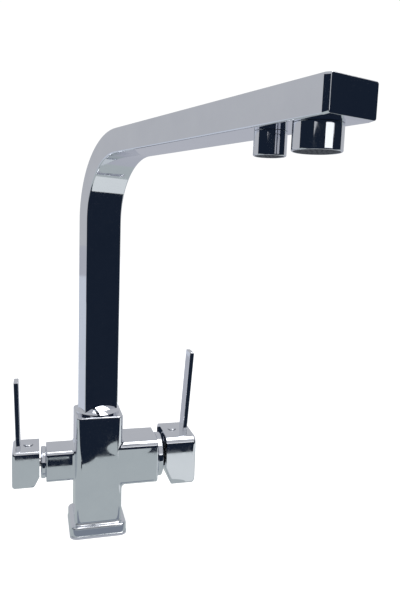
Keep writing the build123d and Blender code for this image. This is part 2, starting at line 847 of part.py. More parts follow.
with BuildPart() as spout_end_cap:
    end_plane = Plane(
        origin=(arm_direction[0] * tube_end, arm_direction[1] * tube_end, arm_middle),
        x_dir=arm_side,
        z_dir=arm_direction,
    )
    # The cap draws in a little towards its face.
    with BuildSketch(end_plane):
        RectangleRounded(spout_width, spout_thickness, spout_corner)
    with BuildSketch(end_plane.offset(end_cap_thickness)):
        RectangleRounded(
            spout_width - 2 * end_cap_taper, spout_thickness - 2 * end_cap_taper, spout_corner
        )
    loft()
    fillet(spout_end_cap.faces().sort_by(Axis((0, 0, 0), arm_direction))[-1].edges(), radius=0.4)
    extrude(rounded(end_plane, spigot_width, spigot_thickness, spigot_corner), amount=-end_cap_plug)
save(spout_end_cap, "spout_end_cap")

tube_turn = 9.0
filter_drop_start = filter_outlet_reach - tube_turn
filter_tube_top = arm_underside + 8.5
filter_tube_rise = filter_tube_top - spout_bend
with BuildPart() as filter_water_tube:
    with BuildLine(arm_profile_plane) as water_path:
        Line((0, swivel_bore_floor - 3.5), (0, filter_tube_rise))
        RadiusArc((0, filter_tube_rise), (spout_bend, filter_tube_top), spout_bend)
        Line((spout_bend, filter_tube_top), (filter_drop_start, filter_tube_top))
        RadiusArc(
            (filter_drop_start, filter_tube_top),
            (filter_outlet_reach, filter_tube_top - tube_turn),
            tube_turn,
        )
        Line(
            (filter_outlet_reach, filter_tube_top - tube_turn), (filter_outlet_reach, arm_underside - 4.0)
        )
    with BuildSketch(arm_plane.offset(swivel_bore_floor - 3.5)):
        Circle(filter_tube_radius)
        Circle(filter_tube_bore, mode=Mode.SUBTRACT)
    sweep(path=water_path.line)
save(filter_water_tube, "filter_water_tube")


# ---------------------------------------------------------------- outlets
def outlet_plane(reach, drop):
    """Plane under the arm at an outlet, a distance below the arm's underside."""
    return Plane(
        origin=(arm_direction[0] * reach, arm_direction[1] * reach, arm_underside - drop),
        x_dir=arm_direction,
        z_dir=(0, 0, 1),
    )


main_socket_drop = 9.0
main_socket_bore = 10.0
main_flange_radius = 13.5
main_seal_top = main_socket_drop + 1.2
insert_bore = 10.2
sleeve_gap = 0.1
mouth_lip = 1.6
with BuildPart() as main_outlet_socket:
    # Threaded spigot with a flange inside the arm.
    extrude(
        ring(outlet_plane(main_outlet_reach, main_socket_drop), main_hole_radius, main_socket_bore),
        amount=main_socket_drop + spout_wall,
    )
    flange_plane = outlet_plane(main_outlet_reach, -spout_wall)
    extrude(ring(flange_plane, main_flange_radius, main_socket_bore), amount=2.0)
save(main_outlet_socket, "main_outlet_socket")

with BuildPart() as main_aerator_sleeve:
    main_sleeve_base = outlet_plane(main_outlet_reach, main_sleeve_drop)
    extrude(
        ring(main_sleeve_base, main_sleeve_radius, main_hole_radius),
        amount=main_sleeve_drop - sleeve_gap,
    )
    fillet(
        main_aerator_sleeve.edges().group_by(Axis.Z)[0].sort_by(SortBy.RADIUS)[-1],
        radius=1.2,
    )
    extrude(ring(main_sleeve_base, main_hole_radius, 10.6), amount=mouth_lip)
save(main_aerator_sleeve, "main_aerator_sleeve")

aerator_floor = main_sleeve_drop - mouth_lip
grid_thickness = 1.4
with BuildPart() as main_aerator_seal:
    extrude(
        ring(outlet_plane(main_outlet_reach, main_seal_top), main_hole_radius, 9.4),
        amount=main_seal_top - main_socket_drop,
    )
save(main_aerator_seal, "main_aerator_seal")

with BuildPart() as main_aerator_insert:
    # Cup with a grid of jets across its mouth.
    insert_plane = outlet_plane(main_outlet_reach, aerator_floor)
    extrude(ring(insert_plane, main_hole_radius, insert_bore), amount=aerator_floor - main_seal_top)
    extrude(disc(insert_plane, insert_bore), amount=grid_thickness)
    with BuildSketch(insert_plane):
        for row_radius, holes in ((3.0, 6), (6.0, 12), (8.6, 18)):
            with PolarLocations(row_radius, holes):
                Circle(0.75)
        Circle(0.9)
    extrude(amount=grid_thickness, mode=Mode.SUBTRACT)
save(main_aerator_insert, "main_aerator_insert")

with BuildPart() as main_aerator_screens:
    for height in (0.0, 0.9):
        screen_plane = outlet_plane(main_outlet_reach, aerator_floor - grid_thickness - height)
        extrude(disc(screen_plane, insert_bore), amount=0.4)
save(main_aerator_screens, "main_aerator_screens")

filter_socket_drop = 9.0
filter_socket_bore = 6.0
filter_seal_top = filter_socket_drop + 1.0
with BuildPart() as filter_outlet_socket:
    extrude(
        ring(outlet_plane(filter_outlet_reach, filter_socket_drop), filter_hole_radius, filter_socket_bore),
        amount=filter_socket_drop + spout_wall,
    )
    extrude(ring(outlet_plane(filter_outlet_reach, -spout_wall), 9.5, 7.0), amount=2.0)
    gland_plane = outlet_plane(filter_outlet_reach, 3.8)
    extrude(ring(gland_plane, filter_socket_bore, filter_tube_radius), amount=3.0)
save(filter_outlet_socket, "filter_outlet_socket")

with BuildPart() as filter_outlet_sleeve:
    filter_sleeve_base = outlet_plane(filter_outlet_reach, filter_sleeve_drop)
    extrude(
        ring(filter_sleeve_base, filter_sleeve_radius, filter_hole_radius),
        amount=filter_sleeve_drop - sleeve_gap,
    )
    fillet(
        filter_outlet_sleeve.edges().group_by(Axis.Z)[0].sort_by(SortBy.RADIUS)[-1],
        radius=1.8,
    )
    extrude(ring(filter_sleeve_base, filter_hole_radius, 6.6), amount=mouth_lip)
save(filter_outlet_sleeve, "filter_outlet_sleeve")

filter_insert_drop = filter_sleeve_drop - mouth_lip
with BuildPart() as filter_outlet_seal:
    extrude(
        ring(outlet_plane(filter_outlet_reach, filter_seal_top), filter_hole_radius, 5.6),
        amount=filter_seal_top - filter_socket_drop,
    )
save(filter_outlet_seal, "filter_outlet_seal")

with BuildPart() as filter_outlet_insert:
    # Flow straightener: a short honeycomb of round cells.
    nozzle_plane = outlet_plane(filter_outlet_reach, filter_insert_drop)
    extrude(disc(nozzle_plane, filter_hole_radius), amount=filter_insert_drop - filter_seal_top)
    with BuildSketch(nozzle_plane):
        Circle(0.9)
        for row_radius, holes in ((2.6, 6), (5.0, 12)):
            with PolarLocations(row_radius, holes):
                Circle(0.9)
    extrude(amount=filter_insert_drop, mode=Mode.SUBTRACT)
save(filter_outlet_insert, "filter_outlet_insert")
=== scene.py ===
"""Looks of a three-way kitchen mixer with a square column, a swivelling spout and two side handles.

Every class below is one sub-assembly of the mixer, one finish, or one part of the studio.
All lengths are in metres, +Z is up and -Y is the front.
"""

import json
import logging
import math
from collections.abc import Callable
from dataclasses import dataclass, field
from enum import Enum

import bpy
from mathutils import Matrix, Vector

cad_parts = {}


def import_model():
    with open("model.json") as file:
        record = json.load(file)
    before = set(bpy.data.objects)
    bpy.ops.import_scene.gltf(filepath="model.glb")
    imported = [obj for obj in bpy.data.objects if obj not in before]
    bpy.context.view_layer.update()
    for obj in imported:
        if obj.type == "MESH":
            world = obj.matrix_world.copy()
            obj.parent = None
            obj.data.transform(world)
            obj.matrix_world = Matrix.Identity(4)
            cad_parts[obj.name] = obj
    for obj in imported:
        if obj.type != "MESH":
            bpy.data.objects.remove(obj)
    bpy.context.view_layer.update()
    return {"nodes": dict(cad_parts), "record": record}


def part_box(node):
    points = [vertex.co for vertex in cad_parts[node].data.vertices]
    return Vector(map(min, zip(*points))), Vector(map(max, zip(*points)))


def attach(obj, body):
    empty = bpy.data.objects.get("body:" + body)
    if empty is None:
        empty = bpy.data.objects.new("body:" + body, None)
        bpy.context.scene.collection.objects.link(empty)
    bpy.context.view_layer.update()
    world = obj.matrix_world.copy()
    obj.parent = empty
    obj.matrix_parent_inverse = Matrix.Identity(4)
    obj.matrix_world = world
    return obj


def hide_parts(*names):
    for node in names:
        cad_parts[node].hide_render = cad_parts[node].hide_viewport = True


log = logging.getLogger("mixer")

MM = 0.001

# Noise rarely leaves this range, so it is spread over it.
NOISE_LOW = 0.3
NOISE_HIGH = 0.7


# ------------------------------------------------------------------ materials


class NodeSheet:
    """A small helper that adds nodes to one material and links them."""

    def __init__(self, name: str) -> None:
        """Start a material that holds only a Principled shader and its output.

        Args:
            name: Name of the new material.
        """
        self.material = bpy.data.materials.new(name)
        self.material.use_nodes = True
        self.tree = self.material.node_tree
        self.shader = self.tree.nodes["Principled BSDF"]
        self.place = self.tree.nodes.new("ShaderNodeTexCoord")

    def add(self, kind: str, **values: object) -> bpy.types.Node:
        """Add a node and set its properties and input values.

        Args:
            kind: Blender's name for the node type.
            **values: Properties by name, or input values by their socket name with underscores.

        Returns:
            The new node.
        """
        node = self.tree.nodes.new(kind)
        for key, value in values.items():
            if hasattr(node, key):
                setattr(node, key, value)
            else:
                node.inputs[key.replace("_", " ")].default_value = value
        return node

    def link(self, source: bpy.types.NodeSocket, target: bpy.types.NodeSocket) -> None:
        """Join an output to an input.

        Args:
            source: The output.
            target: The input.
        """
        self.tree.links.new(source, target)

    def noise(self, scale: float, detail: float, roughness: float = 0.5) -> bpy.types.NodeSocket:
        """Noise in the piece's own coordinates.

        Args:
            scale: Cells per metre.
            detail: Octaves.
            roughness: Strength of the finer octaves.

        Returns:
            The noise value, 0 to 1.
        """
        node = self.add("ShaderNodeTexNoise", Scale=scale, Detail=detail, Roughness=roughness)
        self.link(self.place.outputs["Object"], node.inputs["Vector"])
        return node.outputs["Fac"]

    def stretched_noise(
        self, stretch: tuple[float, float, float], scale: float, detail: float
    ) -> bpy.types.NodeSocket:
        """Noise drawn out along one direction, as a brush or a lathe leaves it.

        Args:
            stretch: Scale of each coordinate.
            scale: Cells per metre after the stretch.
            detail: Octaves.

        Returns:
            The noise value, 0 to 1.
        """
        mapping = self.add("ShaderNodeMapping")
        mapping.inputs["Scale"].default_value = stretch
        self.link(self.place.outputs["Object"], mapping.inputs["Vector"])
        node = self.add("ShaderNodeTexNoise", Scale=scale, Detail=detail)
        self.link(mapping.outputs["Vector"], node.inputs["Vector"])
        return node.outputs["Fac"]

    def between(self, source: bpy.types.NodeSocket, low: float, high: float) -> bpy.types.NodeSocket:
        """Spread a 0 to 1 value over a range.

        Args:
            source: The value.
            low: Result where the value is NOISE_LOW.
            high: Result where the value is NOISE_HIGH.

        Returns:
            The spread value.
        """
        node = self.add("ShaderNodeMapRange")
        node.inputs["From Min"].default_value = NOISE_LOW
        node.inputs["From Max"].default_value = NOISE_HIGH
        node.inputs["To Min"].default_value = low
        node.inputs["To Max"].default_value = high
        self.link(source, node.inputs["Value"])
        return node.outputs["Result"]

    def blend(
        self,
        factor: bpy.types.NodeSocket,
        first: tuple[float, float, float],
        second: tuple[float, float, float],
    ) -> bpy.types.NodeSocket:
        """Two colours mixed by a value.

        Args:
            factor: 0 gives the first colour and 1 the second.
            first: Red, green and blue.
            second: Red, green and blue.

        Returns:
            The mixed colour.
        """
        ramp = self.add("ShaderNodeValToRGB")
        ramp.color_ramp.elements[0].position = NOISE_LOW
        ramp.color_ramp.elements[0].color = (*first, 1.0)
        ramp.color_ramp.elements[1].position = NOISE_HIGH
        ramp.color_ramp.elements[1].color = (*second, 1.0)
        self.link(factor, ramp.inputs["Fac"])
        return ramp.outputs["Color"]

    def bump(self, height: bpy.types.NodeSocket, depth: float) -> None:
        """Raise the surface by a height value.

        Args:
            height: The height, 0 to 1.
            depth: Metres between its lowest and highest point.
        """
        node = self.add("ShaderNodeBump", Strength=1.0, Distance=depth)
        self.link(height, node.inputs["Height"])
        self.link(node.outputs["Normal"], self.shader.inputs["Normal"])


@dataclass(frozen=True)
class ChromePlate:
    """Polished chrome plate: a clear mirror with a faint ripple of the buffing underneath."""

    name: str = "chrome_plate"
    bright: tuple[float, float, float] = (0.80, 0.815, 0.85)
    shaded: tuple[float, float, float] = (0.76, 0.775, 0.815)
    clean: float = 0.025
    hazy: float = 0.075
    ripple: float = 0.0000022
    haze_scale: float = 42.0
    film_scale: float = 160.0
    ripple_scale: float = 55.0

    def make(self) -> bpy.types.Material:
        """Build the material.

        Returns:
            The chrome material.
        """
        sheet = NodeSheet(self.name)
        sheet.shader.inputs["Metallic"].default_value = 1.0
        haze = sheet.noise(self.haze_scale, 5.0, 0.6)
        sheet.link(sheet.blend(haze, self.bright, self.shaded), sheet.shader.inputs["Base Color"])
        film = sheet.noise(self.film_scale, 4.0)
        sheet.link(sheet.between(film, self.clean, self.hazy), sheet.shader.inputs["Roughness"])
        sheet.bump(sheet.noise(self.ripple_scale, 1.0), self.ripple)
        return sheet.material


@dataclass(frozen=True)
class TurnedMetal:
    """Bare metal with the fine rings of the lathe."""

    name: str
    light: tuple[float, float, float]
    dark: tuple[float, float, float]
    stretch: tuple[float, float, float] = (0.05, 0.05, 1.0)
    ring_scale: float = 2600.0
    ring_depth: float = 0.000012
    smooth: float = 0.22
    rough: float = 0.38

    def make(self) -> bpy.types.Material:
        """Build the material.

        Returns:
            The turned metal material.
        """
        sheet = NodeSheet(self.name)
        sheet.shader.inputs["Metallic"].default_value = 1.0
        rings = sheet.stretched_noise(self.stretch, self.ring_scale, 3.0)
        sheet.link(sheet.blend(rings, self.light, self.dark), sheet.shader.inputs["Base Color"])
        sheet.link(sheet.between(rings, self.smooth, self.rough), sheet.shader.inputs["Roughness"])
        sheet.bump(rings, self.ring_depth)
        return sheet.material


@dataclass(frozen=True)
class Moulded:
    """Moulded plastic, rubber or pressed ceramic: a fine grain and slow colour drift."""

    name: str
    light: tuple[float, float, float]
    dark: tuple[float, float, float]
    smooth: float
    rough: float
    grain: float
    grain_scale: float = 2400.0
    drift_scale: float = 90.0
    clear: float = 0.0
    gloss: float = 0.5

    def make(self) -> bpy.types.Material:
        """Build the material.

        Returns:
            The moulded material.
        """
        sheet = NodeSheet(self.name)
        drift = sheet.noise(self.drift_scale, 3.0)
        sheet.link(sheet.blend(drift, self.light, self.dark), sheet.shader.inputs["Base Color"])
        grain = sheet.noise(self.grain_scale, 3.0)
        sheet.link(sheet.between(grain, self.smooth, self.rough), sheet.shader.inputs["Roughness"])
        sheet.shader.inputs["Transmission Weight"].default_value = self.clear
        sheet.shader.inputs["Specular IOR Level"].default_value = self.gloss
        sheet.bump(grain, self.grain)
        return sheet.material


class Finish(Enum):
    """The finishes of the mixer, each with its recipe."""

    CHROME = ChromePlate()
    BRASS = TurnedMetal("turned_brass", (0.78, 0.60, 0.30), (0.62, 0.45, 0.19))
    STAINLESS = TurnedMetal("turned_stainless", (0.66, 0.66, 0.67), (0.50, 0.50, 0.52))
    RUBBER = Moulded("black_rubber", (0.030, 0.030, 0.032), (0.018, 0.018, 0.020), 0.45, 0.70, 0.00003)
    CERAMIC = Moulded("lapped_ceramic", (0.90, 0.89, 0.86), (0.84, 0.83, 0.80), 0.08, 0.20, 0.000004)
    ACETAL = Moulded("white_acetal", (0.86, 0.87, 0.88), (0.78, 0.79, 0.81), 0.32, 0.50, 0.00001)
    JETS = Moulded(
        "jet_plate", (0.030, 0.036, 0.046), (0.016, 0.020, 0.028), 0.42, 0.60, 0.00001, gloss=0.08
    )
    WATER_TUBE = Moulded(
        "drinking_tube", (0.90, 0.92, 0.95), (0.82, 0.85, 0.90), 0.15, 0.30, 0.00001, clear=0.3
    )


class Finishes:
    """Makes each finish once and hands it out."""

    def __init__(self) -> None:
        """Start with no materials made."""
        self.made: dict[Finish, bpy.types.Material] = {}

    def get(self, finish: Finish) -> bpy.types.Material:
        """The material of a finish, made when it is first asked for.

        Args:
            finish: Which finish.

        Returns:
            Its material.
        """
        if finish not in self.made:
            self.made[finish] = finish.value.make()
        return self.made[finish]

    def dress(self, piece: bpy.types.Object, finish: Finish) -> None:
        """Put a finish in all of a piece's material slots.

        Args:
            piece: The mesh object.
            finish: Its finish.
        """
        material = self.get(finish)
        if not piece.data.materials:
            piece.data.materials.append(material)
        for slot in piece.material_slots:
            slot.material = material


# ------------------------------------------------------------------ studio


class Seen(Enum):
    """Which rays a studio card answers."""

    REFLECTION = "reflection"
    CAMERA = "camera"


@dataclass
class Studio:
    """Pale floor, soft lights and the dark and light cards that the chrome reflects."""

    floor_size: float = 9.0
    dome_radius: float = 4.2
    camera_place: Vector = field(default_factory=lambda: Vector((-0.0606, -0.5725, 0.3160)))
    camera_heading: float = 15.96
    camera_pitch: float = 7.80
    camera_roll: float = 2.12
    camera_lens: float = 34.9
    camera_sensor: float = 36.0
    night: tuple[float, float, float] = (0.010, 0.016, 0.030)
    paper: tuple[float, float, float] = (0.35, 0.35, 0.35)
    paper_glow: float = 2.65
    mirror_floor: tuple[float, float, float] = (0.46, 0.475, 0.53)
    near_floor: tuple[float, float, float] = (0.445, 0.49, 0.50)
    right_floor: tuple[float, float, float] = (0.74, 0.78, 0.79)
    # Dark grey of the floor card that paints the foot's contact shadow into the chrome's reflections: a
    # painted shadow.
    foot_shade: tuple[float, float, float] = (0.22, 0.25, 0.30)
    back_left: tuple[float, float, float] = (0.62, 0.66, 0.74)
    strip: tuple[float, float, float] = (0.95, 0.97, 1.0)
    strip_glow: float = 1.25
    backdrop_glow: float = 1.03
    air: tuple[float, float, float] = (0.93, 0.95, 1.0)
    air_strength: float = 0.55
    top_power: float = 24.0
    left_power: float = 12.0

    def build(self) -> None:
        """Make the floor, the dome, the cards, the lights and the camera."""
        bpy.context.scene.view_settings.view_transform = "Standard"
        self.floor()
        self.dome()
        self.world()
        self.dark_cards()
        self.light_cards()
        self.lights()
        self.camera()

    def plain(
        self, name: str, colour: tuple[float, float, float], roughness: float, glow: float = 0.0
    ) -> bpy.types.Material:
        """A studio material.

        Args:
            name: Material name.
            colour: Base colour.
            roughness: Surface roughness.
            glow: Emission strength.

        Returns:
            The material.
        """
        sheet = NodeSheet(name)
        tone = sheet.noise(3.0, 2.0)
        near = tuple(min(1.0, c * 1.02) for c in colour)
        sheet.link(sheet.blend(tone, near, colour), sheet.shader.inputs["Base Color"])
        sheet.shader.inputs["Roughness"].default_value = roughness
        sheet.shader.inputs["Specular IOR Level"].default_value = 0.0
        sheet.shader.inputs["Emission Color"].default_value = (*colour, 1.0)
        sheet.shader.inputs["Emission Strength"].default_value = glow
        return sheet.material

    def glow(self, name: str, colour: tuple[float, float, float], strength: float) -> bpy.types.Material:
        """A card material that only glows, so that no light or shadow falls on it.

        Args:
            name: Material name.
            colour: Colour of the glow.
            strength: Its strength.

        Returns:
            The material.
        """
        material = self.plain(name, (0.0, 0.0, 0.0), 1.0, strength)
        material.node_tree.nodes["Principled BSDF"].inputs["Emission Color"].default_value = (*colour, 1.0)
        return material

    def hide(self, piece: bpy.types.Object, seen: Seen) -> None:
        """Let only one kind of ray see a studio piece.

        Args:
            piece: The card or dome.
            seen: The rays that see it.
        """
        piece.visible_camera = seen is Seen.CAMERA
        piece.visible_glossy = seen is Seen.REFLECTION
        piece.visible_transmission = seen is Seen.REFLECTION
        piece.visible_diffuse = False
        piece.visible_shadow = False

    def floor(self) -> None:
        """A wide pale floor, and the greyer one that the chrome reflects."""
        Bench.clear()
        bpy.ops.mesh.primitive_plane_add(size=self.floor_size)
        plane = bpy.context.object
        plane.name = "studio_floor"
        plane.data.materials.append(self.plain("studio_paper", self.paper, 0.8, self.paper_glow))
        plane.visible_glossy = False
        grey = self.glow("card_floor_grey", self.mirror_floor, 1.0)
        self.card("card_floor_wide", (0.0, 0.0, 0.001), (self.floor_size, self.floor_size), (0, 0, 1), grey)

    def dome(self) -> None:
        """A bright round backdrop that only the camera sees."""
        Bench.clear()
        bpy.ops.mesh.primitive_uv_sphere_add(segments=48, ring_count=24, radius=self.dome_radius)
        shell = bpy.context.object
        shell.name = "studio_backdrop"
        shell.data.materials.append(self.glow("backdrop_glow", (1.0, 1.0, 1.0), self.backdrop_glow))
        self.hide(shell, Seen.CAMERA)

    def card(
        self,
        name: str,
        centre: tuple[float, float, float],
        size: tuple[float, float],
        face: tuple[float, float, float],
        material: bpy.types.Material,
    ) -> None:
        """A flat card that shows in reflections only.

        Args:
            name: Object name.
            centre: Middle of the card.
            size: Width, and height, or depth for one that lies flat.
            face: Direction that the card faces.
            material: Its material.
        """
        Bench.clear()
        bpy.ops.mesh.primitive_plane_add(size=1.0)
        card = bpy.context.object
        card.name = name
        ahead = Vector(face).normalized()
        across = Vector((0, 0, 1)).cross(ahead) if abs(ahead.z) < 0.9 else Vector((1, 0, 0))
        across.normalize()
        axes = Matrix((across * size[0], ahead.cross(across) * size[1], ahead)).transposed()
        card.matrix_world = Matrix.Translation(Vector(centre)) @ axes.to_4x4()
        card.data.materials.append(material)
        self.hide(card, Seen.REFLECTION)

    def round_card(
        self, name: str, centre: tuple[float, float, float], radius: float, material: bpy.types.Material
    ) -> None:
        """A round card that lies on the floor and shows in reflections only.

        Args:
            name: Object name.
            centre: Its middle.
            radius: Its radius.
            material: Its material.
        """
        Bench.clear()
        bpy.ops.mesh.primitive_circle_add(vertices=64, radius=radius, fill_type="NGON", location=centre)
        card = bpy.context.object
        card.name = name
        card.data.materials.append(material)
        self.hide(card, Seen.REFLECTION)

    def dark_cards(self) -> None:
        """Dark cards in front, at both front corners and on the floor, with round ends nearer; two small
        floor cards paint shade into the reflections, the foot's contact shadow and the shade behind the
        column.
        """
        dark = self.glow("card_night", self.night, 1.0)
        self.card("card_floor_front", (0.3, -1.457, 0.004), (6.0, 2.5), (0, 0, 1), dark)
        self.card("card_front", (0.3, -2.3, 0.38), (6.0, 0.78), (0, 1, 0), dark)
        self.card("card_right", (2.4, -1.3, 0.60), (2.4, 1.20), (-1, 0, 0), dark)
        self.card("card_left", (-1.6, -0.85, 0.46), (2.3, 0.92), (1, 0, 0), dark)
        self.round_card("card_floor_round", (-0.018, -0.217, 0.0045), 0.035, dark)
        self.card("card_floor_left", (-0.033, -0.1995, 0.0045), (0.042, 0.055), (0, 0, 1), dark)
        # Painted shade: a dark card on the floor behind the column, seen only in reflections, darkens the
        # inner face of the right handle block, which sits in shade beside the neck.
        self.card("card_floor_behind", (0.020, 0.205, 0.003), (0.052, 0.11), (0, 0, 1), dark)
        # Painted shadow: a dark grey card just in front of the foot, seen only in reflections, stands in
        # for the contact shadow that the foot's front face reflects.
        shade = self.glow("card_foot_shade", self.foot_shade, 1.0)
        self.card("card_floor_foot", (0.0, -0.037, 0.0028), (0.13, 0.017), (0, 0, 1), shade)

    def light_cards(self) -> None:
        """Grey sheets on the floor, a round bite in the dark one, and an upright strip."""
        near = self.glow("card_near_floor", self.near_floor, 1.0)
        self.card("card_floor_near", (0.0, -0.03, 0.002), (6.0, 0.42), (0, 0, 1), near)
        self.round_card("card_floor_bite", (0.062, -0.224, 0.006), 0.030, near)
        self.card("card_floor_stripe", (-0.032, -0.1935, 0.006), (0.026, 0.005), (0, 0, 1), near)
        bright = self.glow("card_right_floor", self.right_floor, 1.0)
        self.card("card_floor_right", (0.249, -0.113, 0.003), (0.300, 0.188), (0, 0, 1), bright)
        strip = self.glow("card_strip", self.strip, self.strip_glow)
        self.card("card_strip_right", (0.560, -1.400, 0.518), (0.80, 0.19), (-0.51, 0.86, -0.13), strip)
        back = self.glow("card_back_left", self.back_left, 1.0)
        self.card("card_floor_back_left", (-0.875, 1.09, 0.003), (1.45, 1.82), (0, 0, 1), back)

    def world(self) -> None:
        """Even pale light from all round."""
        world = bpy.data.worlds.new("studio_air")
        bpy.context.scene.world = world
        world.use_nodes = True
        background = world.node_tree.nodes["Background"]
        background.inputs["Color"].default_value = (*self.air, 1.0)
        background.inputs["Strength"].default_value = self.air_strength

    def area(
        self,
        name: str,
        place: tuple[float, float, float],
        aim: tuple[float, float, float],
        size: tuple[float, float],
        power: float,
        in_chrome: bool,
    ) -> None:
        """A rectangular soft light.

        Args:
            name: Light name.
            place: Its centre.
            aim: The point that it faces.
            size: Width and height.
            power: Watts.
            in_chrome: Whether the chrome reflects it.
        """
        lamp = bpy.data.lights.new(name, "AREA")
        lamp.shape = "RECTANGLE"
        lamp.size, lamp.size_y = size
        lamp.energy = power
        holder = bpy.data.objects.new(name, lamp)
        bpy.context.scene.collection.objects.link(holder)
        holder.location = place
        holder.visible_glossy = in_chrome
        holder.rotation_euler = (Vector(aim) - Vector(place)).to_track_quat("-Z", "Y").to_euler()

    def lights(self) -> None:
        """An overhead soft box and a fill from the left."""
        self.area("softbox_top", (0.72, -0.4, 2.1), (0.05, 0, 0.15), (1.25, 1.5), self.top_power, True)
        self.area("softbox_left", (-2.2, 0.6, 1.1), (0, 0, 0.2), (1.0, 1.2), self.left_power, False)

    def camera(self) -> None:
        """The camera, from its heading, pitch and roll."""
        data = bpy.data.cameras.new("camera")
        data.lens = self.camera_lens
        data.sensor_width = self.camera_sensor
        camera = bpy.data.objects.new("camera", data)
        bpy.context.scene.collection.objects.link(camera)
        heading, pitch, roll = (
            math.radians(angle) for angle in (self.camera_heading, self.camera_pitch, self.camera_roll)
        )
        ahead = Vector(
            (math.sin(heading) * math.cos(pitch), math.cos(heading) * math.cos(pitch), -math.sin(pitch))
        )
        right = Vector((math.cos(heading), -math.sin(heading), 0))
        up = right.cross(ahead)
        tilted_right = right * math.cos(roll) + up * math.sin(roll)
        tilted_up = up * math.cos(roll) - right * math.sin(roll)
        axes = Matrix((tilted_right, tilted_up, -ahead)).transposed()
        camera.matrix_world = Matrix.Translation(self.camera_place) @ axes.to_4x4()
        bpy.context.scene.camera = camera


# ------------------------------------------------------------------ modelling


class Bench:
    """Modelling moves that every sub-assembly shares."""

    ring_count = 96
    join_distance = 1e-6
    sharp_angle = math.radians(35)
    smooth_angle = math.radians(50)
    flat_weight = 100

    @staticmethod
    def clear() -> None:
        """Deselect everything, because a move acts on all that is selected."""
        bpy.ops.object.select_all(action="DESELECT")

    @classmethod
    def turn(
        cls, name: str, profile: list[tuple[float, float]], foot: Vector, axis: Vector
    ) -> bpy.types.Object:
        """Turn a piece: a circle is extruded and resized from one station to the next.

        Args:
            name: Object name.
            profile: Radius and height of each station.  The piece is a closed ring where the last
                one is the first one again, and a solid with flat ends where it isn't.
            foot: Place of height nought.
            axis: Direction in which the heights count.

        Returns:
            The piece, with its place in its mesh.
        """
        cls.clear()
        radius, height = profile[0]
        bpy.ops.mesh.primitive_circle_add(vertices=cls.ring_count, radius=radius, location=(0, 0, height))
        piece = bpy.context.object
        piece.name = name
        bpy.ops.object.transform_apply(location=True, rotation=True, scale=True)
        bpy.ops.object.mode_set(mode="EDIT")
        bpy.ops.mesh.select_all(action="SELECT")
        for next_radius, next_height in profile[1:]:
            bpy.ops.mesh.extrude_region_move(
                TRANSFORM_OT_translate={"value": (0, 0, next_height - height)}
            )
            ratio = next_radius / radius
            bpy.ops.transform.resize(value=(ratio, ratio, 1), center_override=(0, 0, next_height))
            radius, height = next_radius, next_height
        bpy.ops.mesh.select_all(action="SELECT")
        bpy.ops.mesh.remove_doubles(threshold=cls.join_distance)
        bpy.ops.mesh.fill_holes(sides=0)
        bpy.ops.mesh.select_all(action="SELECT")
        bpy.ops.mesh.normals_make_consistent(inside=False)
        bpy.ops.object.mode_set(mode="OBJECT")
        piece.rotation_euler = axis.to_track_quat("Z", "Y").to_euler()
        piece.location = foot
        bpy.ops.object.transform_apply(location=True, rotation=True, scale=True)
        return piece

    @classmethod
    def round_edges(cls, piece: bpy.types.Object, width: float, segments: int = 3) -> None:
        """Round a piece's sharp edges and shade the rest smooth, flats kept flat.

        Args:
            piece: The mesh object.
            width: Width of the rounding.
            segments: Faces across it.
        """
        cls.clear()
        piece.select_set(True)
        bpy.context.view_layer.objects.active = piece
        rounding = piece.modifiers.new("rounding", "BEVEL")
        rounding.width = width
        rounding.segments = segments
        rounding.limit_method = "ANGLE"
        rounding.angle_limit = cls.sharp_angle
        bpy.ops.object.modifier_apply(modifier=rounding.name)
        bpy.ops.object.shade_smooth_by_angle(angle=cls.smooth_angle)
        flats = piece.modifiers.new("flats", "WEIGHTED_NORMAL")
        flats.keep_sharp = True
        flats.weight = cls.flat_weight
        bpy.ops.object.modifier_apply(modifier=flats.name)

    @classmethod
    def join(cls, pieces: list[bpy.types.Object], name: str) -> bpy.types.Object:
        """Join pieces into the first of them.

        Args:
            pieces: The mesh objects.
            name: Name of the result.

        Returns:
            The joined piece.
        """
        cls.clear()
        for piece in pieces:
            piece.select_set(True)
        bpy.context.view_layer.objects.active = pieces[0]
        bpy.ops.object.join()
        pieces[0].name = name
        return pieces[0]

    @staticmethod
    def select_faces(piece: bpy.types.Object, chosen: Callable[[Vector, Vector], bool]) -> None:
        """Select faces by their place and normal, from object mode.

        Args:
            piece: The mesh object.
            chosen: Tells from a face's centre and normal whether it is wanted.
        """
        mesh = piece.data
        for group in (mesh.vertices, mesh.edges, mesh.polygons):
            group.foreach_set("select", [False] * len(group))
        for face in mesh.polygons:
            face.select = chosen(face.center, face.normal)


@dataclass
class SubAssembly:
    """What every sub-assembly knows: the finishes, and how a piece takes its place."""

    finishes: Finishes

    def place(self, piece: bpy.types.Object, body: str, node: str, slot: str, finish: Finish) -> None:
        """Dress a piece, let it ride on its body and let it stand for its CAD node.

        Args:
            piece: The new piece.
            body: The body that it moves with.
            node: The CAD node that it stands for.
            slot: The record's material slot; not used.
            finish: Its finish.
        """
        self.finishes.dress(piece, finish)
        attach(piece, body)
        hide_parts(node)
        log.info("%s: %d faces, for %s", piece.name, len(piece.data.polygons), node)


